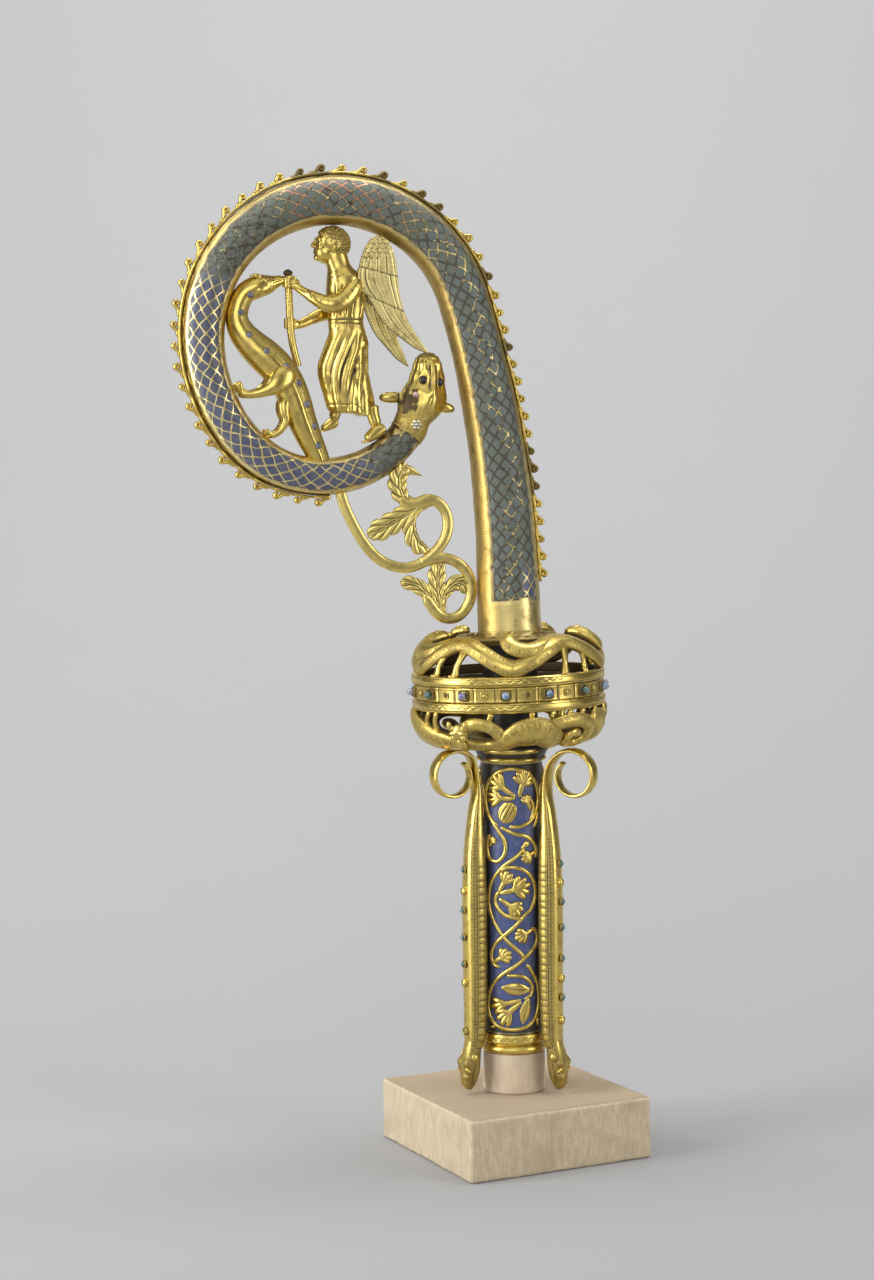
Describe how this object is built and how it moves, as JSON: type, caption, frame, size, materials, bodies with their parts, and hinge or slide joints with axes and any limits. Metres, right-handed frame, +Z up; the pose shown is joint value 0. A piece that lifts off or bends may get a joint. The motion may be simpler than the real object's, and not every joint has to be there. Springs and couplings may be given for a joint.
{
  "type": "crosier head",
  "caption": "Gilt and enamelled copper crosier head: crocketed serpent volute around a winged figure and dragon, openwork gem-set knop and serpent socket, on a display rod and foot.",
  "frame": {"origin": "centre of the underside of the linen-covered foot", "axes": "+Z up along the socket and shaft, -X towards the side the volute curls to, -Y towards the seen side"},
  "size_m": [0.1669, 0.0882, 0.3613],
  "materials": {
    "gilt_copper": "fire-gilt copper, worn, with brown patina in the hollows",
    "enamel": "champleve enamel in a gilt lattice, corroded in places",
    "cabochon": "small polished glass cabochons",
    "linen": "undyed linen drawn over the foot",
    "rod_cloth": "fine undyed cloth on the rod"
  },
  "bodies": {
    "root": {"display_block": "linen", "display_dowel": "rod_cloth", "socket_sleeve": "gilt_copper", "serpent_left": "gilt_copper", "serpent_right": "gilt_copper", "serpent_back": "gilt_copper", "knop_lower": "gilt_copper", "knop_band": "gilt_copper", "knop_upper": "gilt_copper", "knop_gem_01": "cabochon", "knop_gem_02": "cabochon", "knop_gem_03": "cabochon", "knop_gem_04": "cabochon", "knop_gem_05": "cabochon", "knop_gem_06": "cabochon", "knop_gem_07": "cabochon", "knop_gem_08": "cabochon", "knop_gem_09": "cabochon", "knop_gem_10": "cabochon", "knop_gem_11": "cabochon", "knop_gem_12": "cabochon", "knop_gem_13": "cabochon", "knop_gem_14": "cabochon", "volute": "enamel", "crest": "gilt_copper", "foliage_scroll": "gilt_copper", "dragon": "gilt_copper", "angel": "gilt_copper", "wing_near": "gilt_copper", "wing_far": "gilt_copper", "lance": "gilt_copper"}
  },
  "joints": []
}
